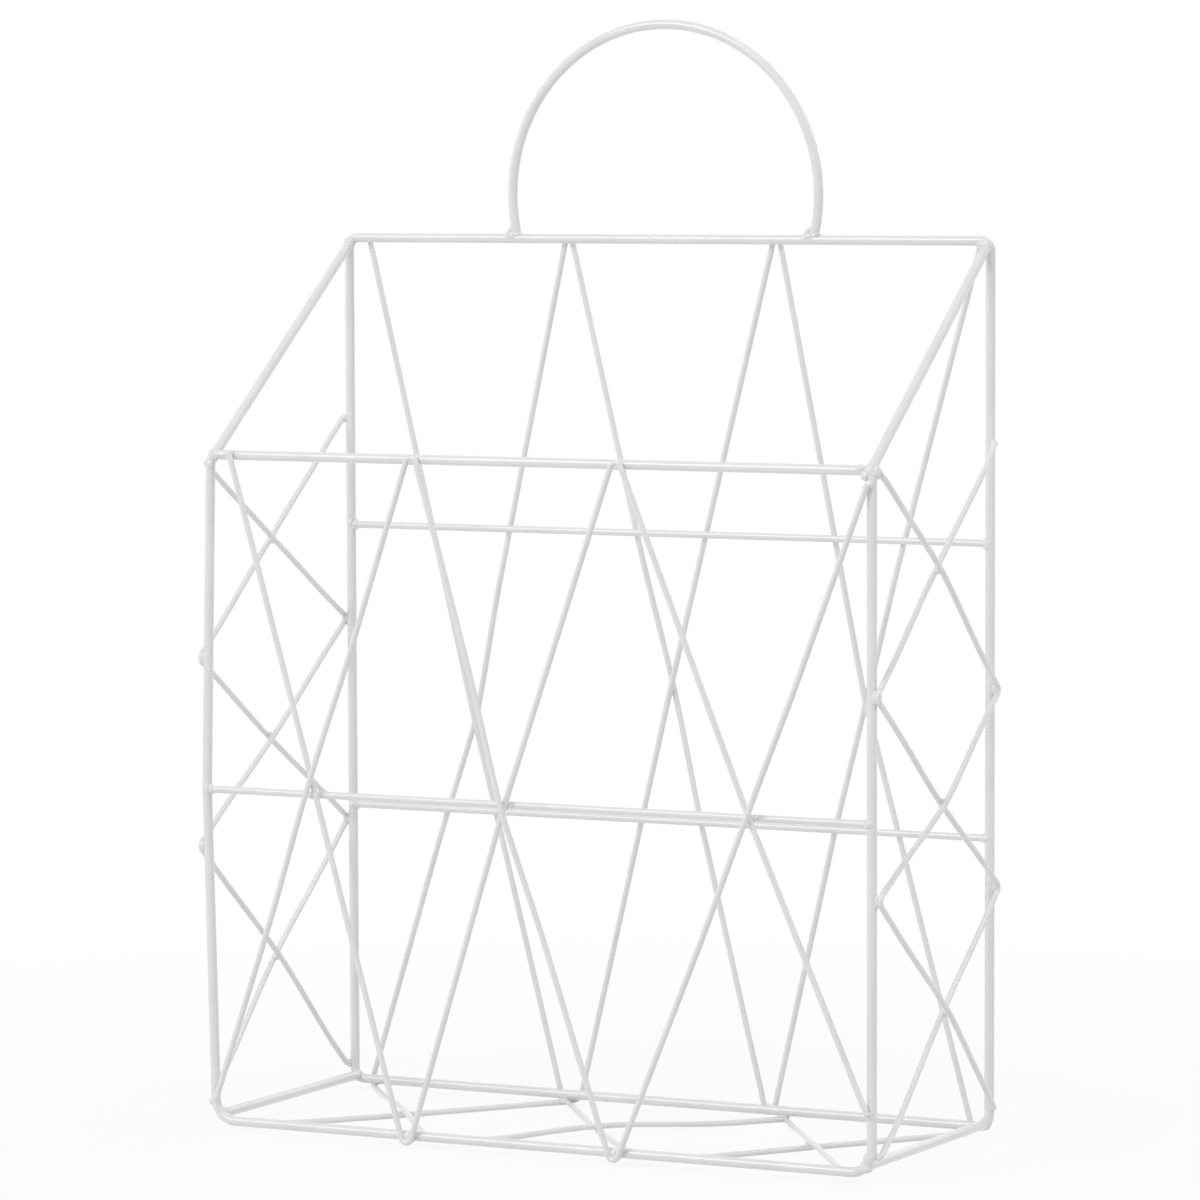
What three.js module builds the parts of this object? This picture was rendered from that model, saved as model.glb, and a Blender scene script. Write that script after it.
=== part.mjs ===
import * as THREE from 'three';

// Wall magazine rack, bent and welded from round steel wire and powder coated.
// Millimetres, +X along the wall, +Y towards the wall, +Z up.
// The origin is under the middle of the rack, on the surface that it can stand on.

// The box, between the centre lines of the frame wires
const width = 280;
const depth = 112.5;
const backHeight = 342.5;
const frontHeight = 260.5;

// Wire gauges
const frameWire = 3.8;
const stayWire = 2.8;
const latticeWire = 2.3;

// The welds leave this much between the wires that they join
const weldGap = 0.3;

// Bends, measured on the centre line of the wire
const topBend = 3.5;
const backFootBend = 4.5;
const frontFootBend = 8.5;
const tipBend = 2.2;
const tightTipBend = 1.6;
const looseTipBend = 5;

// The hanging loop is an arc that stands on the back frame
const loopRadius = 66.7;
const loopRise = 17.4;
const loopShift = 1.1;

// Heights of the stays above the floor wires of their frame
const frontStayHeight = 130;
const backLowerStayHeight = 112.5;
const backUpperStayHeight = 226.5;

// The front stay is a little long and holds the left upright out at its weld
const uprightBow = 2.8;

// A lattice wire that passes over its partner rises along this length on each side of the crossing
const crossoverRun = 60;
const crossoverSteps = 6;

// It never takes more than this share of the straight wire between the crossing and the next bend
const crossoverShare = 0.9;

// Near the front the floor wires rise, so that their tips are tucked behind the front wire
const floorLift = 2.2;
const floorLiftRun = 26;

// The ends of the side lattices are welded part of the way round their uprights, this far to the inside
const endTuck = 2;

// Bays of each lattice panel
const bays = 3;

// How finely the round forms are cut
const frameSides = 12;
const staySides = 10;
const latticeSides = 8;
const bendStep = THREE.MathUtils.degToRad(18);
const tipStep = THREE.MathUtils.degToRad(30);
const loopStep = THREE.MathUtils.degToRad(9);

const frameRadius = frameWire / 2;
const latticeRadius = latticeWire / 2;

// A lattice lies on the outside of the frame, one weld gap away
const latticeOffset = frameRadius + weldGap + latticeRadius;
const crossoverOffset = latticeWire + weldGap;

// The front tips of the floor lattice sit behind and below the front wire: how far behind its centre
const floorTuck = Math.sqrt(latticeOffset ** 2 - (latticeOffset - floorLift) ** 2);

const left = -width / 2;
const right = width / 2;
const back = depth / 2;
const front = -depth / 2;
const floor = latticeOffset + latticeRadius;
const backTop = floor + backHeight;
const frontTop = floor + frontHeight;

const coat = new THREE.MeshStandardMaterial({ color: 0xf2f2f0, roughness: 0.4, metalness: 0.0 });
const rack = new THREE.Group();
rack.name = 'wall_magazine_rack';

function addWire(name, geometry) {
  const wire = new THREE.Mesh(geometry, coat);
  wire.name = name;
  rack.add(wire);
}

// Sweeps a round wire along points. One flat of its many-sided section faces the given way,
// or each point's own way. A cut is the normal of the plane that the wire's end is cut on.
function sweep(points, diameter, sides, facing, { closed = false, startCut, endCut } = {}) {
  const count = points.length;
  const corner = diameter / 2 / Math.cos(Math.PI / sides);
  const vertices = [];
  for (let i = 0; i < count; i++) {
    const point = points[i];
    const before = points[closed ? (i + count - 1) % count : Math.max(i - 1, 0)];
    const after = points[closed ? (i + 1) % count : Math.min(i + 1, count - 1)];
    const along = after.clone().sub(point).normalize();
    if (after === point) along.copy(point).sub(before).normalize();
    const arriving = before === point ? along.clone() : point.clone().sub(before).normalize();
    const tangent = along.clone().add(arriving).normalize();
    const stretch = 1 / tangent.dot(along);
    const side = new THREE.Vector3().crossVectors(tangent, facing).normalize();
    const up = new THREE.Vector3().crossVectors(side, tangent);
    const cut = i === 0 ? startCut : i === count - 1 ? endCut : undefined;
    for (let j = 0; j < sides; j++) {
      const angle = ((j + 0.5) / sides) * 2 * Math.PI;
      const vertex = point.clone();
      vertex.addScaledVector(side, corner * stretch * Math.sin(angle));
      vertex.addScaledVector(up, corner * Math.cos(angle));
      if (cut) {
        const reach = vertex.clone().sub(point).dot(cut) / tangent.dot(cut);
        vertex.addScaledVector(tangent, -reach);
      }
      vertices.push(vertex.x, vertex.y, vertex.z);
    }
  }
  const faces = [];
  const rings = closed ? count : count - 1;
  for (let i = 0; i < rings; i++) {
    const here = i * sides;
    const next = ((i + 1) % count) * sides;
    for (let j = 0; j < sides; j++) {
      const k = (j + 1) % sides;
      faces.push(here + j, here + k, next + j);
      faces.push(next + j, here + k, next + k);
    }
  }
  if (!closed) {
    const last = (count - 1) * sides;
    for (let j = 1; j < sides - 1; j++) {
      faces.push(0, j + 1, j);
      faces.push(last, last + j, last + j + 1);
    }
  }
  const geometry = new THREE.BufferGeometry();
  geometry.setAttribute('position', new THREE.Float32BufferAttribute(vertices, 3));
  geometry.setIndex(faces);
  return geometry;
}

// Points on an arc about a centre, from one angle to the other, both ends included
function arc(centre, radius, from, to, step) {
  const steps = Math.max(1, Math.ceil(Math.abs(to - from) / step));
  const points = [];
  for (let i = 0; i <= steps; i++) {
    const angle = from + ((to - from) * i) / steps;
    const spot = new THREE.Vector2(Math.cos(angle), Math.sin(angle)).multiplyScalar(radius);
    points.push(spot.add(centre));
  }
  return points;
}

// A closed frame of one wire, bent at four corners, in the plane y
function frameLoop(y, top, headBend, footBend, bowHeight, bow) {
  const quarter = Math.PI / 2;
  const corner = (x, z, bend, turn) =>
    arc(new THREE.Vector2(x, z), bend, turn * quarter, (turn + 1) * quarter, bendStep);
  const outline = [
    ...corner(right - headBend, top - headBend, headBend, 0),
    ...corner(left + headBend, top - headBend, headBend, 1),
  ];
  if (bow) outline.push(new THREE.Vector2(left - bow, bowHeight));
  outline.push(...corner(left + footBend, floor + footBend, footBend, 2));
  outline.push(...corner(right - footBend, floor + footBend, footBend, 3));
  const points = outline.map((spot) => new THREE.Vector3(spot.x, y, spot.y));
  return sweep(points, frameWire, frameSides, new THREE.Vector3(0, -1, 0), { closed: true });
}

addWire('back_frame', frameLoop(back, backTop, topBend, backFootBend));
addWire(
  'front_frame',
  frameLoop(front, frontTop, topBend, frontFootBend, floor + frontStayHeight, uprightBow)
);

// Four rails join the corners of the two frames, butted against the wire halfway round each bend
function rail(side, fromHeight, fromInset, toHeight, toInset, vertical) {
  const reach = frameRadius + weldGap;
  const run = depth - 2 * reach;
  const start = new THREE.Vector3(side * (width / 2 - fromInset), back, fromHeight - vertical * fromInset);
  const end = new THREE.Vector3(side * (width / 2 - toInset), front, toHeight - vertical * toInset);
  const cut = new THREE.Vector3(0, 1, 0);
  const points = [
    start.clone().lerp(end, reach / depth),
    start.clone().lerp(end, (reach + run) / depth),
  ];
  return sweep(points, frameWire, frameSides, new THREE.Vector3(side, 0, 0), { startCut: cut, endCut: cut });
}

// How far the middle of a bend lies inside the sharp corner
const inset = (bend) => bend * (1 - Math.SQRT1_2);

for (const [name, side] of [['left', -1], ['right', 1]]) {
  addWire(
    `${name}_upper_rail`,
    rail(side, backTop, inset(topBend), frontTop, inset(topBend), 1)
  );
  addWire(
    `${name}_lower_rail`,
    rail(side, floor, inset(backFootBend), floor, inset(frontFootBend), -1)
  );
}

// Straight stays butt between the uprights of their frame
function stay(y, height, leftBow = 0) {
  const reach = frameRadius + weldGap;
  const points = [
    new THREE.Vector3(left - leftBow + reach, y, floor + height),
    new THREE.Vector3(right - reach, y, floor + height),
  ];
  return sweep(points, stayWire, staySides, new THREE.Vector3(0, -1, 0));
}

addWire('front_stay', stay(front, frontStayHeight, uprightBow));
addWire('back_lower_stay', stay(back, backLowerStayHeight));
addWire('back_upper_stay', stay(back, backUpperStayHeight));

// The hanging loop: a little over a half circle, its feet cut level to stand on the back frame
function hangingLoop() {
  const foot = Math.asin((loopRise - frameRadius - weldGap) / loopRadius);
  const centre = new THREE.Vector2(loopShift, backTop + loopRise);
  const outline = arc(centre, loopRadius, -foot, Math.PI + foot, loopStep);
  const points = outline.map((spot) => new THREE.Vector3(spot.x, back, spot.y));
  const cut = new THREE.Vector3(0, 0, 1);
  return sweep(points, frameWire, frameSides, new THREE.Vector3(0, -1, 0), { startCut: cut, endCut: cut });
}

addWire('hanging_loop', hangingLoop());

// Where a straight wire from a point meets a tip bend so that it runs on round it
function touchPoint(from, centre, radius, turn) {
  const away = centre.clone().sub(from);
  const length = Math.sqrt(away.lengthSq() - radius * radius);
  const lean = Math.asin(radius / away.length()) * turn;
  return away.normalize().rotateAround(new THREE.Vector2(), lean).multiplyScalar(length).add(from);
}

// Points along a lattice wire in its panel: x runs along the two frame wires, y from one to the other.
// It bends round a tip at each frame wire in turn and passes through the crossings between.
function latticeOutline(wire, crossings, span) {
  const spots = [wire.start];
  wire.tips.forEach((tip, i) => {
    const high = wire.firstTipHigh === (i % 2 === 0);
    const out = high ? 1 : -1;
    const edge = high ? span : 0;
    const centre = new THREE.Vector2(tip.along, edge + out * (tip.over - tip.bend));
    const arrive = touchPoint(crossings[i], centre, tip.bend, out);
    const leave = touchPoint(crossings[i + 1], centre, tip.bend, -out);
    const from = arrive.clone().sub(centre).angle();
    let to = leave.clone().sub(centre).angle();
    if (out > 0 && to > from) to -= 2 * Math.PI;
    if (out < 0 && to < from) to += 2 * Math.PI;
    spots.push(crossings[i].clone());
    spots.push(...arc(centre, tip.bend, from, to, tipStep));
  });
  spots.push(crossings[wire.tips.length].clone());
  spots.push(wire.end);
  return spots;
}

// Adds points either side of each crossing and gives the rise out of the panel's plane at every point
function withCrossovers(spots, crossings, rise) {
  const raised = [];
  spots.forEach((spot, i) => {
    if (!crossings.some((crossing) => crossing.equals(spot))) {
      raised.push({ spot, rise: 0 });
      return;
    }
    for (let k = -crossoverSteps; k <= crossoverSteps; k++) {
      const toward = spots[k < 0 ? i - 1 : i + 1];
      const room = Math.min(crossoverRun, spot.distanceTo(toward) * crossoverShare);
      const share = Math.abs(k) / crossoverSteps;
      const way = toward.clone().sub(spot).setLength(room * share);
      raised.push({ spot: spot.clone().add(way), rise: (rise * (1 + Math.cos(Math.PI * share))) / 2 });
    }
  });
  return raised;
}

// A panel is a corner, the way along its frame wires, the way across, and the way out of the rack.
// Its two wires stray from even bays by the millimetres given, as hand-bent wire does. A tip may reach
// over its frame wire. An end may stop short of it or run past it by its lift, or lie round it by its tuck.
function addPanel(name, panel) {
  const pitch = (panel.length - panel.startInset - panel.endInset) / bays;
  const station = (k) => panel.startInset + k * pitch;
  const crossings = [];
  for (let k = 0; k < bays; k++) {
    const [along, across] = panel.crossingStrays[k];
    crossings.push(new THREE.Vector2(station(k + 0.5) + along, panel.span / 2 + across));
  }
  const bow = panel.bow ?? (() => 0);
  const rises = panel.rises ?? { a: 0, b: crossoverOffset };
  const place = (spot, offset) =>
    panel.corner
      .clone()
      .addScaledVector(panel.along, spot.x)
      .addScaledVector(panel.across, spot.y)
      .addScaledVector(panel.out, offset + bow(spot));
  for (const letter of ['a', 'b']) {
    const { firstTipHigh, start, tips, end } = panel[letter];
    const edge = (k) => (firstTipHigh === (k % 2 === 1) ? panel.span : 0);
    const inward = (k) => (edge(k) > 0 ? -1 : 1);
    const endSpot = (k, { stray = 0, lift = 0, tuck = 0 }) =>
      new THREE.Vector2(station(k) + stray, edge(k) + lift + inward(k) * tuck);
    const roundFrame = ({ tuck = 0 }) => latticeOffset - Math.sqrt(latticeOffset ** 2 - tuck ** 2);
    const shape = {
      firstTipHigh,
      start: endSpot(0, start),
      tips: tips.map(({ stray = 0, over = 0, bend = tipBend }, i) => {
        return { along: station(i + 1) + stray, over, bend };
      }),
      end: endSpot(bays, end),
    };
    const outline = latticeOutline(shape, crossings, panel.span);
    const rise = rises[letter];
    const shaped = rise !== 0 || panel.bow !== undefined;
    const path = shaped ? withCrossovers(outline, crossings, rise) : outline.map((spot) => ({ spot, rise }));
    path[0].rise -= roundFrame(start);
    path[path.length - 1].rise -= roundFrame(end);
    const points = path.map(({ spot, rise }) => place(spot, latticeOffset + rise));
    addWire(`${name}_lattice_${letter}`, sweep(points, latticeWire, latticeSides, panel.out));
  }
}

const alongX = new THREE.Vector3(1, 0, 0);
const towardWall = new THREE.Vector3(0, 1, 0);
const upward = new THREE.Vector3(0, 0, 1);
const outLeft = alongX.clone().negate();
const outFront = towardWall.clone().negate();
const downward = upward.clone().negate();

addPanel('back', {
  corner: new THREE.Vector3(left, back, floor),
  along: alongX,
  across: upward,
  out: towardWall,
  length: width,
  span: backHeight,
  startInset: 7,
  endInset: 7,
  crossingStrays: [[2.5, -21], [2, -6], [-3, -6.5]],
  a: {
    firstTipHigh: false,
    start: { stray: 0.5 },
    tips: [{ stray: 1.5, over: 3, bend: looseTipBend }, { stray: 4, bend: tightTipBend }],
    end: { stray: -2 },
  },
  b: {
    firstTipHigh: true,
    start: { stray: -0.5 },
    tips: [{ stray: 2, bend: tightTipBend }, { stray: 0.5, over: 1.4 }],
    end: { stray: 2 },
  },
});

addPanel('front', {
  corner: new THREE.Vector3(left, front, floor),
  along: alongX,
  across: upward,
  out: outFront,
  length: width,
  span: frontHeight,
  startInset: 0,
  endInset: 0,
  crossingStrays: [[-0.7, 5], [-11, -1], [-1.8, 0]],
  a: {
    firstTipHigh: false,
    start: { stray: 10, lift: 1.5 },
    tips: [{ stray: -7.2, over: 2.3 }, { stray: -9.9, over: 0.8 }],
    end: { stray: -0.5, lift: 22 },
  },
  b: {
    firstTipHigh: true,
    start: { stray: 2, lift: 9 },
    tips: [{ stray: -3.4, over: 0.8 }, { stray: -11.9, over: 2.3 }],
    end: { stray: -0.5, lift: -5 },
  },
});

// The side lattices run down from the front frame's top; across them is from the back to the front.
// Where their wires cross, one gives way inwards as far as the other does outwards.
const sidePanel = {
  rises: { a: -crossoverOffset / 2, b: crossoverOffset / 2 },
  along: downward,
  across: outFront,
  length: frontHeight,
  span: depth,
  startInset: 0,
  endInset: 6,
};

addPanel('right_side', {
  ...sidePanel,
  corner: new THREE.Vector3(right, back, frontTop),
  out: alongX,
  crossingStrays: [[-2, 1.8], [1, -2.6], [-3.5, -5.5]],
  a: {
    firstTipHigh: true,
    start: { stray: -4.5, tuck: endTuck },
    tips: [{ stray: -1.5, over: 2.2 }, { stray: -3 }],
    end: { tuck: endTuck },
  },
  b: {
    firstTipHigh: false,
    start: { stray: 1.5, tuck: endTuck },
    tips: [{ stray: 5.5 }, { stray: -10.5 }],
    end: { stray: -2, tuck: endTuck },
  },
});

// The bowed upright carries the front tips of the left lattice out with it
function leftBow(spot) {
  const drop = frontHeight - frontStayHeight;
  const share = spot.x < drop ? spot.x / drop : (frontHeight - spot.x) / frontStayHeight;
  return (uprightBow * Math.max(share, 0) * Math.max(spot.y, 0)) / depth;
}

addPanel('left_side', {
  ...sidePanel,
  corner: new THREE.Vector3(left, back, frontTop),
  out: outLeft,
  bow: leftBow,
  crossingStrays: [[-5.5, 2], [-12.5, 2.9], [-8.5, 0]],
  a: {
    firstTipHigh: false,
    start: { stray: 3.5, tuck: endTuck },
    tips: [{ stray: -12.5 }, { stray: -16.5 }],
    end: { tuck: endTuck },
  },
  b: {
    firstTipHigh: true,
    start: { stray: -9, tuck: endTuck },
    tips: [{ stray: -5.5 }, { stray: -15.5 }],
    end: { stray: -1, tuck: endTuck },
  },
});

// The floor lattice lies under the frames, so its crossovers rise into the rack
function floorRise(spot) {
  const share = THREE.MathUtils.clamp(spot.y / floorLiftRun, 0, 1);
  return (-floorLift * (1 + Math.cos(Math.PI * share))) / 2;
}

addPanel('floor', {
  corner: new THREE.Vector3(left, front, floor),
  along: alongX,
  across: towardWall,
  out: downward,
  bow: floorRise,
  rises: { a: 0, b: -crossoverOffset },
  length: width,
  span: depth,
  startInset: 8,
  endInset: 8,
  crossingStrays: [[-0.5, 1.2], [0.5, -2], [-0.3, 2.5]],
  a: {
    firstTipHigh: true,
    start: { stray: -2.5, lift: floorTuck + latticeRadius },
    tips: [{}, { stray: 2, over: -floorTuck }],
    end: { stray: -2 },
  },
  b: {
    firstTipHigh: false,
    start: { stray: 1 },
    tips: [{ over: -floorTuck }, { stray: 8.5 }],
    end: { stray: -1.5, lift: floorTuck + latticeRadius },
  },
});

export default rack;
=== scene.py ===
from math import acos, asin, ceil, cos, pi, radians, sin, sqrt, tau

import bmesh
import bpy
from mathutils import Matrix, Vector, noise


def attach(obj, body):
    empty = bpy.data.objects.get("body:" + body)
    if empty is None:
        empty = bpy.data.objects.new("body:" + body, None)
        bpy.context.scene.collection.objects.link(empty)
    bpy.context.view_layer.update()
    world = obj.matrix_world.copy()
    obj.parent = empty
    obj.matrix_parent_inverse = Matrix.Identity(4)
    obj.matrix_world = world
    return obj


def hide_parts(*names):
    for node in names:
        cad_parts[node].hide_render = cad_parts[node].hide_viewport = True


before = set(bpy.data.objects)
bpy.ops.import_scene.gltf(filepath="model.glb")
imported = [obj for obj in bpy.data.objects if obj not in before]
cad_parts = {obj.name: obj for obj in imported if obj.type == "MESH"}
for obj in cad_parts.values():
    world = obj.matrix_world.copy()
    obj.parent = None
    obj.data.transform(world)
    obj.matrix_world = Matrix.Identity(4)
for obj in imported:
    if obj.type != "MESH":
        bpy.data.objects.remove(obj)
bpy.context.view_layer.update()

# Sizes in millimetres, as in the part's source. Meshes are made in metres.
MM = 0.001
WIDTH = 280
DEPTH = 112.5
BACK_HEIGHT = 342.5
FRONT_HEIGHT = 260.5
FRAME_WIRE = 3.8
STAY_WIRE = 2.8
LATTICE_WIRE = 2.3
WELD_GAP = 0.3
TOP_BEND = 3.5
BACK_FOOT_BEND = 4.5
FRONT_FOOT_BEND = 8.5
TIP_BEND = 2.2
TIGHT_TIP_BEND = 1.6
LOOSE_TIP_BEND = 5
LOOP_RADIUS = 66.7
LOOP_RISE = 17.4
LOOP_SHIFT = 1.1
FRONT_STAY_HEIGHT = 130
BACK_LOWER_STAY_HEIGHT = 112.5
BACK_UPPER_STAY_HEIGHT = 226.5
UPRIGHT_BOW = 2.8
CROSSOVER_RUN = 60
CROSSOVER_SHARE = 0.9
FLOOR_LIFT = 2.2
FLOOR_LIFT_RUN = 26
END_TUCK = 2
BAYS = 3

# How finely the wires are drawn
CROSSOVER_STEPS = 14
FRAME_SIDES = 28
STAY_SIDES = 24
LATTICE_SIDES = 20
BEND_STEP = radians(6)
TIP_STEP = radians(9)
LOOP_STEP = radians(2.5)

FRAME_RADIUS = FRAME_WIRE / 2
STAY_RADIUS = STAY_WIRE / 2
LATTICE_RADIUS = LATTICE_WIRE / 2
LATTICE_OFFSET = FRAME_RADIUS + WELD_GAP + LATTICE_RADIUS
CROSSOVER_OFFSET = LATTICE_WIRE + WELD_GAP
FLOOR_TUCK = sqrt(LATTICE_OFFSET**2 - (LATTICE_OFFSET - FLOOR_LIFT) ** 2)
END_DIP = LATTICE_OFFSET - sqrt(LATTICE_OFFSET**2 - END_TUCK**2)
LEFT = -WIDTH / 2
RIGHT = WIDTH / 2
BACK = DEPTH / 2
FRONT = -DEPTH / 2
FLOOR = LATTICE_OFFSET + LATTICE_RADIUS
BACK_TOP = FLOOR + BACK_HEIGHT
FRONT_TOP = FLOOR + FRONT_HEIGHT

ALONG_X = Vector((1, 0, 0))
TO_WALL = Vector((0, 1, 0))
UPWARD = Vector((0, 0, 1))

# Camera at the photograph's viewing angle
CAMERA_YAW = radians(26.464)
CAMERA_PITCH = radians(4.571)
CAMERA_ROLL = radians(0.210)
CAMERA_PLACE = Vector((1.00065, -2.00917, 0.38826))
SENSOR = 36
LENS = 174.8
CLIP_END = 100


def make_camera():
    forward = Vector((
        -sin(CAMERA_YAW) * cos(CAMERA_PITCH),
        cos(CAMERA_YAW) * cos(CAMERA_PITCH),
        -sin(CAMERA_PITCH),
    ))
    level = Vector((cos(CAMERA_YAW), sin(CAMERA_YAW), 0))
    down = forward.cross(level)
    across = level * cos(CAMERA_ROLL) + down * sin(CAMERA_ROLL)
    below = down * cos(CAMERA_ROLL) - level * sin(CAMERA_ROLL)
    turn = Matrix((across, -below, -forward)).transposed()
    data = bpy.data.cameras.new("camera")
    data.sensor_width = SENSOR
    data.lens = LENS
    data.clip_end = CLIP_END
    camera = bpy.data.objects.new("camera", data)
    camera.matrix_world = Matrix.Translation(CAMERA_PLACE) @ turn.to_4x4()
    bpy.context.collection.objects.link(camera)
    bpy.context.scene.camera = camera


def new_nodes(name):
    material = bpy.data.materials.new(name)
    material.use_nodes = True
    material.node_tree.nodes.clear()
    return material, material.node_tree.nodes, material.node_tree.links


def noise_node(nodes, links, source, scale, detail):
    texture = nodes.new("ShaderNodeTexNoise")
    texture.inputs["Scale"].default_value = scale
    texture.inputs["Detail"].default_value = detail
    links.new(source, texture.inputs["Vector"])
    return texture.outputs["Fac"]


def ranged(nodes, links, source, low, high, out_low, out_high):
    remap = nodes.new("ShaderNodeMapRange")
    remap.inputs["From Min"].default_value = low
    remap.inputs["From Max"].default_value = high
    remap.inputs["To Min"].default_value = out_low
    remap.inputs["To Max"].default_value = out_high
    links.new(source, remap.inputs["Value"])
    return remap.outputs["Result"]


# The two ends of the coat's tone and of its roughness, and how even the noise between them is
COAT_TONES = ((0.845, 0.845, 0.84, 1), (0.89, 0.89, 0.885, 1))
COAT_ROUGHNESS = (0.3, 0.42)
TONE_RANGE = (0.35, 0.65)
GLOSS_RANGE = (0.3, 0.7)
COAT_IOR = 1.5
TOP_ROUGHNESS = 0.16

# How finely the coat's unevenness is grained
TONE_SCALE = 45
GLOSS_SCALE = 260
LUMP_SCALE = 380
PEEL_SCALE = 1500


# White powder coat: faintly uneven in tone and gloss, with the fine orange peel of baked powder
def powder_coat(name, peel_depth, lump_depth):
    material, nodes, links = new_nodes(name)
    place = nodes.new("ShaderNodeTexCoord").outputs["Object"]
    shader = nodes.new("ShaderNodeBsdfPrincipled")
    shader.inputs["IOR"].default_value = COAT_IOR
    shader.inputs["Coat Weight"].default_value = 1
    shader.inputs["Coat Roughness"].default_value = TOP_ROUGHNESS
    tone = noise_node(nodes, links, place, TONE_SCALE, 3)
    colours = nodes.new("ShaderNodeMix")
    colours.data_type = "RGBA"
    colours.inputs["A"].default_value = COAT_TONES[0]
    colours.inputs["B"].default_value = COAT_TONES[1]
    links.new(ranged(nodes, links, tone, *TONE_RANGE, 0, 1), colours.inputs["Factor"])
    links.new(colours.outputs["Result"], shader.inputs["Base Color"])
    gloss = noise_node(nodes, links, place, GLOSS_SCALE, 2)
    roughness = ranged(nodes, links, gloss, *GLOSS_RANGE, *COAT_ROUGHNESS)
    links.new(roughness, shader.inputs["Roughness"])
    peel = noise_node(nodes, links, place, PEEL_SCALE, 2)
    lumps = noise_node(nodes, links, place, LUMP_SCALE, 2)
    fine = nodes.new("ShaderNodeBump")
    fine.inputs["Distance"].default_value = peel_depth
    links.new(peel, fine.inputs["Height"])
    coarse = nodes.new("ShaderNodeBump")
    coarse.inputs["Distance"].default_value = lump_depth
    links.new(lumps, coarse.inputs["Height"])
    links.new(fine.outputs["Normal"], coarse.inputs["Normal"])
    links.new(coarse.outputs["Normal"], shader.inputs["Normal"])
    output = nodes.new("ShaderNodeOutputMaterial")
    links.new(shader.outputs["BSDF"], output.inputs["Surface"])
    return material


COAT = powder_coat("white_powder_coat", peel_depth=0.000004, lump_depth=0.00002)
WELD_COAT = powder_coat("white_powder_coat_on_welds", peel_depth=0.000006, lump_depth=0.00008)


def add_piece(name, mesh, material, node=None):
    piece = bpy.data.objects.new(name, mesh)
    mesh.materials.append(material)
    for polygon in mesh.polygons:
        polygon.use_smooth = True
    bpy.context.collection.objects.link(piece)
    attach(piece, "root")
    if node:
        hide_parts(node)


# How a weld bead swells off its plain form: the share and the fineness of its large lumps and of its
# small ones, and how far each further bead lies along the noise
LARGE_SWELL = 0.2
LARGE_SCALE = 1.3
SMALL_SWELL = 0.07
SMALL_SCALE = 3.4
BEAD_DRIFT = (3.7, 1.9, 2.3)


# A weld bead is a small uneven lump. Its axes are given, with its reach along each, in millimetres.
def bead(shape, centre, axes, reach, seed):
    lump = bmesh.ops.create_icosphere(shape, subdivisions=3, radius=1)["verts"]
    drift = Vector([seed * step for step in BEAD_DRIFT])
    for vert in lump:
        ball = vert.co.copy()
        swell = 1 + LARGE_SWELL * noise.noise(ball * LARGE_SCALE + drift)
        swell += SMALL_SWELL * noise.noise(ball * SMALL_SCALE + drift)
        spot = centre.copy()
        for axis, length, share in zip(axes, reach, ball):
            spot += axis * (length * share * swell)
        vert.co = spot * MM


def add_beads(name, beads):
    shape = bmesh.new()
    for seed, (centre, axes, reach) in enumerate(beads):
        bead(shape, centre, axes, reach, seed)
    bmesh.ops.recalc_face_normals(shape, faces=shape.faces)
    mesh = bpy.data.meshes.new(name)
    shape.to_mesh(mesh)
    shape.free()
    add_piece(name, mesh, WELD_COAT)


# Three axes at right angles, the first one along the given way and the second near the other one
def axes_from(first, second):
    first = first.normalized()
    third = first.cross(second).normalized()
    return first, third.cross(first), third


UPRIGHT_AXES = (ALONG_X, TO_WALL, UPWARD)


# The rings at an open end: how far in, in diameters, and how wide. The last one keeps the shading
# of the rounded edge off the straight wall behind it.
END_RINGS = ((0, 0.82), (0.027, 0.93), (0.09, 1), (0.16, 1))


# Sweeps a round wire along points in millimetres. Open ends are cut square, or along the plane of
# a cut, with a small rounded edge.
def sweep(points, diameter, sides, facing, closed=False, start_cut=None, end_cut=None):
    count = len(points)
    radius = diameter / 2
    verts = []
    faces = []
    rings = []
    for i, point in enumerate(points):
        before = points[(i - 1) % count] if closed or i > 0 else None
        after = points[(i + 1) % count] if closed or i < count - 1 else None
        along = (after - point).normalized() if after else (point - before).normalized()
        arriving = (point - before).normalized() if before else along
        tangent = (along + arriving).normalized()
        stretch = 1 / tangent.dot(along)
        side = tangent.cross(facing).normalized()
        up = side.cross(tangent)
        cut = start_cut if before is None else end_cut if after is None else None
        shrinks = [(0, 1)]
        if before is None:
            shrinks = [(slide * diameter, share) for slide, share in END_RINGS]
        elif after is None:
            shrinks = [(-slide * diameter, share) for slide, share in reversed(END_RINGS)]
        for slide, share in shrinks:
            ring = []
            for j in range(sides):
                angle = tau * j / sides
                spot = point + tangent * slide
                aside = side * (radius * share * stretch * sin(angle))
                spot += aside + up * (radius * share * cos(angle))
                if cut:
                    spot -= tangent * ((spot - point - tangent * slide).dot(cut) / tangent.dot(cut))
                ring.append(len(verts))
                verts.append(spot * MM)
            rings.append(ring)
    spans = len(rings) if closed else len(rings) - 1
    for i in range(spans):
        here = rings[i]
        there = rings[(i + 1) % len(rings)]
        for j in range(sides):
            k = (j + 1) % sides
            faces.append((here[j], here[k], there[k], there[j]))
    if not closed:
        faces.append(tuple(reversed(rings[0])))
        faces.append(tuple(rings[-1]))
    mesh = bpy.data.meshes.new("wire")
    mesh.from_pydata(verts, [], faces)
    mesh.validate()
    return mesh


def arc(centre, radius, start, end, step):
    steps = max(1, ceil(abs(end - start) / step))
    points = []
    for i in range(steps + 1):
        angle = start + (end - start) * i / steps
        points.append(centre + Vector((cos(angle), sin(angle))) * radius)
    return points


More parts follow.
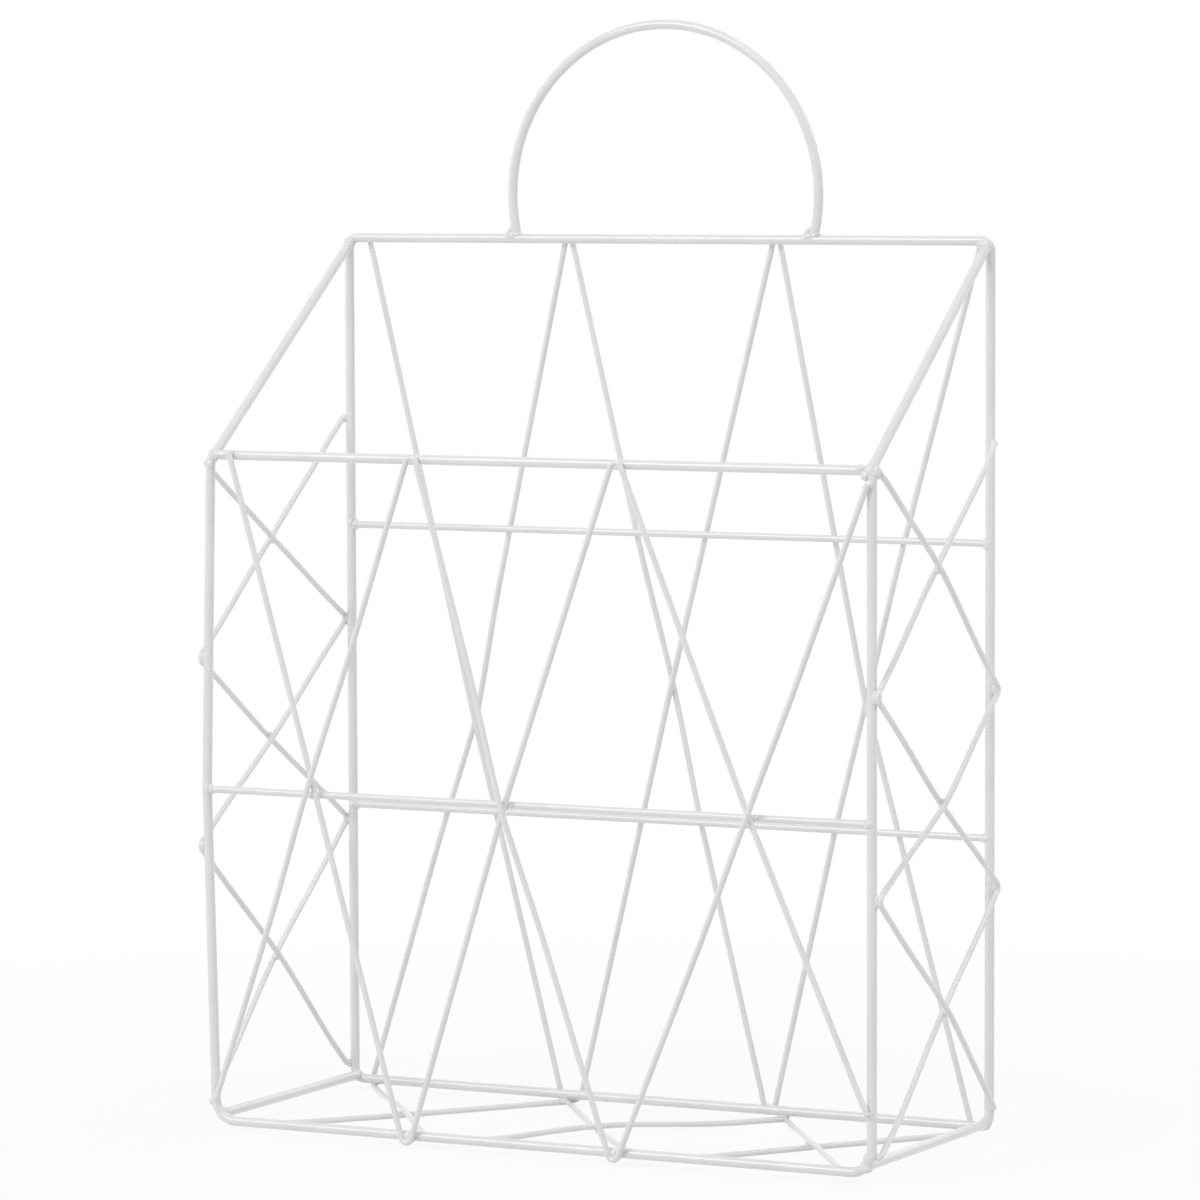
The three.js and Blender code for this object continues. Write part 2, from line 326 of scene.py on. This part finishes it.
def frame_loop(y, top, head_bend, foot_bend, bow_height=None, bow=0):
    quarter = pi / 2

    def corner(x, z, bend, turn):
        return arc(Vector((x, z)), bend, turn * quarter, (turn + 1) * quarter, BEND_STEP)

    outline = corner(RIGHT - head_bend, top - head_bend, head_bend, 0)
    outline += corner(LEFT + head_bend, top - head_bend, head_bend, 1)
    if bow:
        outline.append(Vector((LEFT - bow, bow_height)))
    outline += corner(LEFT + foot_bend, FLOOR + foot_bend, foot_bend, 2)
    outline += corner(RIGHT - foot_bend, FLOOR + foot_bend, foot_bend, 3)
    points = [Vector((spot.x, y, spot.y)) for spot in outline]
    return sweep(points, FRAME_WIRE, FRAME_SIDES, -TO_WALL, closed=True)


back_loop = frame_loop(BACK, BACK_TOP, TOP_BEND, BACK_FOOT_BEND)
add_piece("back_frame_wire", back_loop, COAT, "back_frame")
bow_height = FLOOR + FRONT_STAY_HEIGHT
front_loop = frame_loop(FRONT, FRONT_TOP, TOP_BEND, FRONT_FOOT_BEND, bow_height, UPRIGHT_BOW)
add_piece("front_frame_wire", front_loop, COAT, "front_frame")


# How far the middle of a bend lies inside the sharp corner
def inset(bend):
    return bend * (1 - sqrt(0.5))


def rail_ends(side, start_height, start_inset, end_height, end_inset, vertical):
    start = Vector((side * (RIGHT - start_inset), BACK, start_height - vertical * start_inset))
    end = Vector((side * (RIGHT - end_inset), FRONT, end_height - vertical * end_inset))
    return start, end


TOP_INSET = inset(TOP_BEND)
BACK_FOOT_INSET = inset(BACK_FOOT_BEND)
FRONT_FOOT_INSET = inset(FRONT_FOOT_BEND)
RAILS = {}
for hand, side in (("left", -1), ("right", 1)):
    RAILS[hand + "_upper_rail"] = rail_ends(side, BACK_TOP, TOP_INSET, FRONT_TOP, TOP_INSET, 1)
    RAILS[hand + "_lower_rail"] = rail_ends(side, FLOOR, BACK_FOOT_INSET, FLOOR, FRONT_FOOT_INSET, -1)
for name, (start, end) in RAILS.items():
    reach = (FRAME_RADIUS + WELD_GAP) / DEPTH
    points = [start.lerp(end, reach), start.lerp(end, 1 - reach)]
    wire = sweep(points, FRAME_WIRE, FRAME_SIDES, ALONG_X, start_cut=TO_WALL, end_cut=TO_WALL)
    add_piece(name + "_wire", wire, COAT, name)

# Beads of the rails: the reach in the seam at a rail's end and in the corner behind it, how far that
# one lies from the corner as a share of the seam's way, and the lumps that show on single corners
RAIL_SEAM_BEAD = (1.5, 2.3, 2.3)
RAIL_CORNER_BEAD = (2.5, 2.3, 2.5)
CORNER_SHARE = 0.4
CORNER_LUMPS = (
    ((RIGHT - 3.9, FRONT - 0.9, FRONT_TOP + 0.8), (2.1, 1.5, 1.5)),
    ((RIGHT - 2.2, FRONT - 1.2, FRONT_TOP - 2), (1.9, 1.4, 1.8)),
    ((RIGHT + 1.6, FRONT + 1.2, FRONT_TOP - 0.2), (1.7, 1.9, 2.1)),
    ((LEFT + 4.5, FRONT - 0.6, FRONT_TOP + 0.3), (4.2, 1.8, 1.8)),
    ((LEFT + 0.4, FRONT - 1.2, FRONT_TOP - 3.6), (1.8, 1.2, 2)),
    ((RIGHT - 3, BACK - 0.9, BACK_TOP - 1.4), (2.6, 1.5, 2)),
    ((RIGHT - 1.5, FRONT - 1.2, FLOOR + 5.5), (1.5, 1.2, 2.2)),
    ((RIGHT - 2, FRONT - 0.6, FLOOR + 1.8), (2.3, 1.9, 1.8)),
)

rail_beads = []
for start, end in RAILS.values():
    seam = (FRAME_RADIUS + WELD_GAP / 2) / DEPTH
    for share in (seam, 1 - seam):
        rail_beads.append((start.lerp(end, share), axes_from(end - start, UPWARD), RAIL_SEAM_BEAD))
        behind = share * CORNER_SHARE + (1 - CORNER_SHARE) * round(share)
        rail_beads.append((start.lerp(end, behind), UPRIGHT_AXES, RAIL_CORNER_BEAD))
for place, reach in CORNER_LUMPS:
    rail_beads.append((Vector(place), UPRIGHT_AXES, reach))
add_beads("rail_welds", rail_beads)

STAYS = {
    "front_stay": (LEFT - UPRIGHT_BOW, FRONT, FLOOR + FRONT_STAY_HEIGHT),
    "back_lower_stay": (LEFT, BACK, FLOOR + BACK_LOWER_STAY_HEIGHT),
    "back_upper_stay": (LEFT, BACK, FLOOR + BACK_UPPER_STAY_HEIGHT),
}
for name, (x, y, z) in STAYS.items():
    reach = FRAME_RADIUS + WELD_GAP
    points = [Vector((x + reach, y, z)), Vector((RIGHT - reach, y, z))]
    add_piece(name + "_wire", sweep(points, STAY_WIRE, STAY_SIDES, -TO_WALL), COAT, name)

# Beads of the stays: the reach at a stay's end, and the lumps that show beside the ends
STAY_END_BEAD = (1.5, 1.8, 2.1)
STAY_LUMPS = (
    ((LEFT - UPRIGHT_BOW + 0.5, FRONT - 0.8, FLOOR + FRONT_STAY_HEIGHT), (1.7, 1.6, 2.6)),
    ((RIGHT - 0.6, FRONT - 1.2, FLOOR + FRONT_STAY_HEIGHT), (2.1, 1.6, 1.6)),
    ((LEFT + 0.4, BACK - 1.3, FLOOR + BACK_UPPER_STAY_HEIGHT + 0.8), (1.4, 1, 1.9)),
    ((RIGHT - 0.8, BACK - 1.3, FLOOR + BACK_UPPER_STAY_HEIGHT - 0.6), (1.5, 1.1, 1.9)),
    ((LEFT + 0.6, BACK - 1.3, FLOOR + BACK_LOWER_STAY_HEIGHT), (1.5, 1, 1.7)),
    ((RIGHT - 0.8, BACK - 1.3, FLOOR + BACK_LOWER_STAY_HEIGHT), (1.5, 1, 1.7)),
)

stay_beads = []
for x, y, z in STAYS.values():
    for end in (x + FRAME_RADIUS, RIGHT - FRAME_RADIUS):
        stay_beads.append((Vector((end, y, z)), UPRIGHT_AXES, STAY_END_BEAD))
for place, reach in STAY_LUMPS:
    stay_beads.append((Vector(place), UPRIGHT_AXES, reach))
add_beads("stay_welds", stay_beads)

LOOP_CENTRE = Vector((LOOP_SHIFT, BACK_TOP + LOOP_RISE))
LOOP_FOOT = asin((LOOP_RISE - FRAME_RADIUS - WELD_GAP) / LOOP_RADIUS)
loop_outline = arc(LOOP_CENTRE, LOOP_RADIUS, -LOOP_FOOT, pi + LOOP_FOOT, LOOP_STEP)
loop_points = [Vector((spot.x, BACK, spot.y)) for spot in loop_outline]
loop_wire = sweep(loop_points, FRAME_WIRE, FRAME_SIDES, -TO_WALL, start_cut=UPWARD, end_cut=UPWARD)
add_piece("hanging_loop_wire", loop_wire, COAT, "hanging_loop")

FOOT_REACH = LOOP_RADIUS * cos(LOOP_FOOT)
FOOT_HEIGHT = BACK_TOP + FRAME_RADIUS

# Beads at each foot of the loop: the place from the foot, the axes and the reach
LEANING_AXES = axes_from(Vector((0.7, 0, 0.72)), TO_WALL)
FOOT_BEADS = (
    ((0, 0, 0), UPRIGHT_AXES, (2.6, 2.1, 1.2)),
    ((-2.6, 0, 1.2), LEANING_AXES, (3.3, 1.5, 1.3)),
    ((-2.2, -1.3, -0.9), UPRIGHT_AXES, (2.8, 0.9, 1.6)),
)

loop_beads = []
for side in (-1, 1):
    foot = Vector((LOOP_SHIFT + side * FOOT_REACH, BACK, FOOT_HEIGHT))
    for slip, axes, reach in FOOT_BEADS:
        loop_beads.append((foot + Vector(slip), axes, reach))
add_beads("hanging_loop_welds", loop_beads)


def turned(flat, angle):
    x = flat.x * cos(angle) - flat.y * sin(angle)
    y = flat.x * sin(angle) + flat.y * cos(angle)
    return Vector((x, y))


# Where a straight wire from a point meets a tip bend so that it runs on round it
def touch_point(start, centre, radius, turn):
    away = centre - start
    length = sqrt(away.length_squared - radius * radius)
    lean = asin(radius / away.length) * turn
    return start + turned(away.normalized(), lean) * length


def bearing(flat):
    angle = acos(max(-1, min(1, flat.x / flat.length)))
    return angle if flat.y >= 0 else tau - angle


def lattice_outline(high_first, start, tips, end, crossings, span):
    spots = [start]
    for i, (along, over, bend) in enumerate(tips):
        high = high_first == (i % 2 == 0)
        out = 1 if high else -1
        centre = Vector((along, (span if high else 0) + out * (over - bend)))
        arrive = touch_point(crossings[i], centre, bend, out) - centre
        leave = touch_point(crossings[i + 1], centre, bend, -out) - centre
        first = bearing(arrive)
        last = bearing(leave)
        if out > 0 and last > first:
            last -= tau
        if out < 0 and last < first:
            last += tau
        spots.append(crossings[i].copy())
        spots += arc(centre, bend, first, last, TIP_STEP)
    spots.append(crossings[len(tips)].copy())
    spots.append(end)
    return spots


# Points closer than this, in millimetres, are the same one
SAME_SPOT = 1e-6


# Adds points either side of each crossing and gives the rise over the partner at every point
def with_crossovers(spots, crossings, rise):
    raised = []
    for i, spot in enumerate(spots):
        if not any((spot - crossing).length < SAME_SPOT for crossing in crossings):
            raised.append((spot, 0))
            continue
        for k in range(-CROSSOVER_STEPS, CROSSOVER_STEPS + 1):
            toward = spots[i - 1] if k < 0 else spots[i + 1]
            room = min(CROSSOVER_RUN, (toward - spot).length * CROSSOVER_SHARE)
            share = abs(k) / CROSSOVER_STEPS
            beside = spot + (toward - spot).normalized() * room * share
            raised.append((beside, rise * (1 + cos(pi * share)) / 2))
    return raised


# Beads of the lattices, in millimetres. At a crossing, the reach. In the seam with a frame wire, the
# length at a tip and at an end, how far into both wires, and the width. In the crook of a tip, how far
# inside the frame wire's middle at most, the length, the height, and how far under the wire's middle.
# Where the front lattice crosses the stay, the reach and the height over the stay.
CROSSING_BEAD = (1.5, 1.5, 1)
TIP_BEAD_LENGTH = 2.6
END_BEAD_LENGTH = 1.7
SEAM_BEAD_BITE = 0.8
SEAM_BEAD_WIDTH = 1.5
CROOK_DEPTH = 0.6
CROOK_BEAD_LENGTH = 1.6
CROOK_BEAD_HEIGHT = 0.75
CROOK_BEAD_SINK = 0.35
STAY_CROSSING_BEAD = (2.6, 1.7, 1.2)
STAY_CROSSING_LIFT = 0.4


def add_lattice(name, panel):
    corner, along, across, out = panel["corner"], panel["along"], panel["across"], panel["out"]
    first, last = panel["insets"]
    span = panel["span"]
    pitch = (panel["length"] - first - last) / BAYS
    crossings = []
    for k, (slip, lift) in enumerate(panel["crossings"]):
        crossings.append(Vector((first + (k + 0.5) * pitch + slip, span / 2 + lift)))
    bow = panel.get("bow", lambda spot: 0)
    rises = dict(zip("ab", panel.get("rises", (0, CROSSOVER_OFFSET))))

    def place(spot, offset):
        return corner + along * spot.x + across * spot.y + out * (offset + bow(spot))

    beads = []
    middle = LATTICE_OFFSET + (rises["a"] + rises["b"]) / 2
    for crossing in crossings:
        beads.append((place(crossing, middle), (along, across, out), CROSSING_BEAD))

    # A bead between a lattice wire and the frame wire that it crosses or ends on
    def join(spot, frame_spot, length):
        wire_point = place(spot, LATTICE_OFFSET)
        held_out = bow(spot) if name == "left_side" else 0
        frame_point = corner + along * frame_spot.x + across * frame_spot.y + out * held_out
        way = (wire_point - frame_point).normalized()
        gap = (wire_point - frame_point).length - FRAME_RADIUS - LATTICE_RADIUS
        seam = frame_point + way * (FRAME_RADIUS + gap / 2)
        reach = (length, gap / 2 + SEAM_BEAD_BITE, SEAM_BEAD_WIDTH)
        beads.append((seam, axes_from(along, way), reach))

    for letter in "ab":
        high_first, start, tips, end = panel[letter]

        def edge(k):
            return span if high_first == (k % 2 == 1) else 0

        bends = []
        for k, (stray, over, bend) in enumerate(tips, 1):
            bends.append((first + k * pitch + stray, over, bend))
        start_spot = Vector((first + start[0], edge(0) + start[1]))
        end_spot = Vector((first + BAYS * pitch + end[0], edge(BAYS) + end[1]))
        outline = lattice_outline(high_first, start_spot, bends, end_spot, crossings, span)
        path = with_crossovers(outline, crossings, rises[letter])
        if name in ("right_side", "left_side"):
            path[0] = (start_spot, -END_DIP)
            path[-1] = (end_spot, -END_DIP)
        points = [place(spot, LATTICE_OFFSET + lift) for spot, lift in path]
        for k, (slip, over, bend) in enumerate(bends, 1):
            side = 1 if edge(k) else -1
            join(Vector((slip, edge(k) + side * over)), Vector((slip, edge(k))), TIP_BEAD_LENGTH)
            # The weld also fills the crook of a tip on its frame wire, within that wire's width
            if over >= 0 and bend < LOOSE_TIP_BEND:
                middle_of_crook = max(over - bend, -CROOK_DEPTH)
                crook = Vector((slip, edge(k) + side * middle_of_crook))
                width = FRAME_RADIUS - abs(middle_of_crook)
                reach = (CROOK_BEAD_LENGTH, width, CROOK_BEAD_HEIGHT)
                weld = place(crook, LATTICE_OFFSET - CROOK_BEAD_SINK)
                beads.append((weld, (along, across, out), reach))
        for k, spot in ((0, start_spot), (BAYS, end_spot)):
            nearest = Vector((spot.x, edge(k)))
            upright = Vector((0 if k == 0 else panel["length"], spot.y))
            if name == "front" and abs(spot.x - upright.x) < abs(spot.y - edge(k)):
                nearest = upright
            join(spot, nearest, END_BEAD_LENGTH)
        node = f"{name}_lattice_{letter}"
        add_piece(node + "_wire", sweep(points, LATTICE_WIRE, LATTICE_SIDES, out), COAT, node)
    if name == "front":
        for crossing in crossings:
            weld = place(Vector((crossing.x, FRONT_STAY_HEIGHT)), STAY_RADIUS + STAY_CROSSING_LIFT)
            beads.append((weld, (along, across, out), STAY_CROSSING_BEAD))
    add_beads(name + "_lattice_welds", beads)


def left_bow(spot):
    drop = FRONT_HEIGHT - FRONT_STAY_HEIGHT
    share = spot.x / drop if spot.x < drop else (FRONT_HEIGHT - spot.x) / FRONT_STAY_HEIGHT
    return UPRIGHT_BOW * max(share, 0) * max(spot.y, 0) / DEPTH


# Near the front the floor wires rise, so that their tips are tucked behind the front wire
def floor_rise(spot):
    share = min(max(spot.y / FLOOR_LIFT_RUN, 0), 1)
    return -FLOOR_LIFT * (1 + cos(pi * share)) / 2


# The five panels. Each wire, a and b: whether its first tip lies high, its start (stray, lift), its
# tips (stray, over, bend) and its end (stray, lift), in millimetres off even bays.
PANELS = {
    "back": {
        "corner": Vector((LEFT, BACK, FLOOR)),
        "along": ALONG_X,
        "across": UPWARD,
        "out": TO_WALL,
        "length": WIDTH,
        "span": BACK_HEIGHT,
        "insets": (7, 7),
        "crossings": ((2.5, -21), (2, -6), (-3, -6.5)),
        "a": (False, (0.5, 0), ((1.5, 3, LOOSE_TIP_BEND), (4, 0, TIGHT_TIP_BEND)), (-2, 0)),
        "b": (True, (-0.5, 0), ((2, 0, TIGHT_TIP_BEND), (0.5, 1.4, TIP_BEND)), (2, 0)),
    },
    "front": {
        "corner": Vector((LEFT, FRONT, FLOOR)),
        "along": ALONG_X,
        "across": UPWARD,
        "out": -TO_WALL,
        "length": WIDTH,
        "span": FRONT_HEIGHT,
        "insets": (0, 0),
        "crossings": ((-0.7, 5), (-11, -1), (-1.8, 0)),
        "a": (False, (10, 1.5), ((-7.2, 2.3, TIP_BEND), (-9.9, 0.8, TIP_BEND)), (-0.5, 22)),
        "b": (True, (2, 9), ((-3.4, 0.8, TIP_BEND), (-11.9, 2.3, TIP_BEND)), (-0.5, -5)),
    },
    "right_side": {
        "corner": Vector((RIGHT, BACK, FRONT_TOP)),
        "along": -UPWARD,
        "across": -TO_WALL,
        "out": ALONG_X,
        "length": FRONT_HEIGHT,
        "span": DEPTH,
        "insets": (0, 6),
        "rises": (-CROSSOVER_OFFSET / 2, CROSSOVER_OFFSET / 2),
        "crossings": ((-2, 1.8), (1, -2.6), (-3.5, -5.5)),
        "a": (True, (-4.5, END_TUCK), ((-1.5, 2.2, TIP_BEND), (-3, 0, TIP_BEND)), (0, -END_TUCK)),
        "b": (False, (1.5, -END_TUCK), ((5.5, 0, TIP_BEND), (-10.5, 0, TIP_BEND)), (-2, END_TUCK)),
    },
    "left_side": {
        "corner": Vector((LEFT, BACK, FRONT_TOP)),
        "along": -UPWARD,
        "across": -TO_WALL,
        "out": -ALONG_X,
        "bow": left_bow,
        "length": FRONT_HEIGHT,
        "span": DEPTH,
        "insets": (0, 6),
        "rises": (-CROSSOVER_OFFSET / 2, CROSSOVER_OFFSET / 2),
        "crossings": ((-5.5, 2), (-12.5, 2.9), (-8.5, 0)),
        "a": (False, (3.5, -END_TUCK), ((-12.5, 0, TIP_BEND), (-16.5, 0, TIP_BEND)), (0, END_TUCK)),
        "b": (True, (-9, END_TUCK), ((-5.5, 0, TIP_BEND), (-15.5, 0, TIP_BEND)), (-1, -END_TUCK)),
    },
    "floor": {
        "corner": Vector((LEFT, FRONT, FLOOR)),
        "along": ALONG_X,
        "across": TO_WALL,
        "out": -UPWARD,
        "bow": floor_rise,
        "rises": (0, -CROSSOVER_OFFSET),
        "length": WIDTH,
        "span": DEPTH,
        "insets": (8, 8),
        "crossings": ((-0.5, 1.2), (0.5, -2), (-0.3, 2.5)),
        "a": (
            True,
            (-2.5, FLOOR_TUCK + LATTICE_RADIUS),
            ((0, 0, TIP_BEND), (2, -FLOOR_TUCK, TIP_BEND)),
            (-2, 0),
        ),
        "b": (
            False,
            (1, 0),
            ((0, -FLOOR_TUCK, TIP_BEND), (8.5, 0, TIP_BEND)),
            (-1.5, FLOOR_TUCK + LATTICE_RADIUS),
        ),
    },
}
for name, panel in PANELS.items():
    add_lattice(name, panel)


# The floor's colour as it lights the rack from below and as the camera sees it, how far out it runs,
# and where in metres from the rack's middle it fades to white and how white it is before that
FLOOR_BOUNCE = (0.84, 0.84, 0.84, 1)
FLOOR_SEEN = (0.95, 0.95, 0.95, 1)
FLOOR_HALF = 30
FADE_START = 0.2
FADE_END = 0.6
NEAR_WHITENESS = 0.86

# Light from all round, and the lamps: the name, the place, the width and the power of each
AMBIENT = 0.46
LAMP_AIM = Vector((0, 0, 0.2))
LAMPS = (
    ("overhead", (0.9, -0.7, 4.9), 2.2, 25),
    ("front_left", (-1.2, -2.8, 2.25), 2, 40),
    ("right_side", (3.2, 0.6, 2.1), 1.8, 17),
    ("left_side", (-3.4, -1.2, 0.6), 1.6, 6),
    ("behind", (0.6, 3.4, 2.2), 3.2, 18),
)


# 1 for rays that show the background: straight to the camera, mirrored or through glass
def seen_ray(nodes, links):
    rays = nodes.new("ShaderNodeLightPath")
    seen = rays.outputs["Is Camera Ray"]
    for kind in ("Is Glossy Ray", "Is Transmission Ray"):
        either = nodes.new("ShaderNodeMath")
        either.operation = "MAXIMUM"
        links.new(seen, either.inputs[0])
        links.new(rays.outputs[kind], either.inputs[1])
        seen = either.outputs["Value"]
    return seen


# The floor is white to the camera, and a little less so near the rack, where it keeps a soft shadow
def make_floor():
    material, nodes, links = new_nodes("floor")
    diffuse = nodes.new("ShaderNodeBsdfDiffuse")
    white = nodes.new("ShaderNodeEmission")
    white.inputs["Strength"].default_value = 1
    place = nodes.new("ShaderNodeNewGeometry").outputs["Position"]
    away = nodes.new("ShaderNodeVectorMath")
    away.operation = "LENGTH"
    links.new(place, away.inputs[0])
    distance = away.outputs["Value"]
    share = ranged(nodes, links, distance, FADE_START, FADE_END, NEAR_WHITENESS, 1)
    seen = seen_ray(nodes, links)
    colour = nodes.new("ShaderNodeMix")
    colour.data_type = "RGBA"
    colour.inputs["A"].default_value = FLOOR_BOUNCE
    colour.inputs["B"].default_value = FLOOR_SEEN
    links.new(seen, colour.inputs["Factor"])
    links.new(colour.outputs["Result"], diffuse.inputs["Color"])
    factor = nodes.new("ShaderNodeMath")
    factor.operation = "MULTIPLY"
    links.new(seen, factor.inputs[0])
    links.new(share, factor.inputs[1])
    mix = nodes.new("ShaderNodeMixShader")
    links.new(factor.outputs["Value"], mix.inputs["Fac"])
    links.new(diffuse.outputs["BSDF"], mix.inputs[1])
    links.new(white.outputs["Emission"], mix.inputs[2])
    output = nodes.new("ShaderNodeOutputMaterial")
    links.new(mix.outputs["Shader"], output.inputs["Surface"])
    mesh = bpy.data.meshes.new("floor")
    half = FLOOR_HALF
    corners = [(-half, -half, 0), (half, -half, 0), (half, half, 0), (-half, half, 0)]
    mesh.from_pydata(corners, [], [(0, 1, 2, 3)])
    mesh.materials.append(material)
    floor = bpy.data.objects.new("floor", mesh)
    bpy.context.collection.objects.link(floor)


# The world is white to the camera and lights the rack evenly
def make_world():
    world = bpy.data.worlds.new("world")
    world.use_nodes = True
    nodes = world.node_tree.nodes
    links = world.node_tree.links
    nodes.clear()
    ambient = nodes.new("ShaderNodeBackground")
    ambient.inputs["Color"].default_value = (1, 1, 1, 1)
    ambient.inputs["Strength"].default_value = AMBIENT
    white = nodes.new("ShaderNodeBackground")
    white.inputs["Color"].default_value = (1, 1, 1, 1)
    white.inputs["Strength"].default_value = 1
    mix = nodes.new("ShaderNodeMixShader")
    links.new(seen_ray(nodes, links), mix.inputs["Fac"])
    links.new(ambient.outputs["Background"], mix.inputs[1])
    links.new(white.outputs["Background"], mix.inputs[2])
    output = nodes.new("ShaderNodeOutputWorld")
    links.new(mix.outputs["Shader"], output.inputs["Surface"])
    bpy.context.scene.world = world


def add_lamp(name, place, size, power):
    data = bpy.data.lights.new(name, "AREA")
    data.shape = "DISK"
    data.size = size
    data.energy = power
    lamp = bpy.data.objects.new(name, data)
    lamp.location = place
    lamp.rotation_euler = (LAMP_AIM - Vector(place)).to_track_quat("-Z", "Y").to_euler()
    bpy.context.collection.objects.link(lamp)


make_camera()
make_floor()
make_world()
for lamp in LAMPS:
    add_lamp(*lamp)

scene = bpy.context.scene
scene.view_settings.view_transform = "Standard"
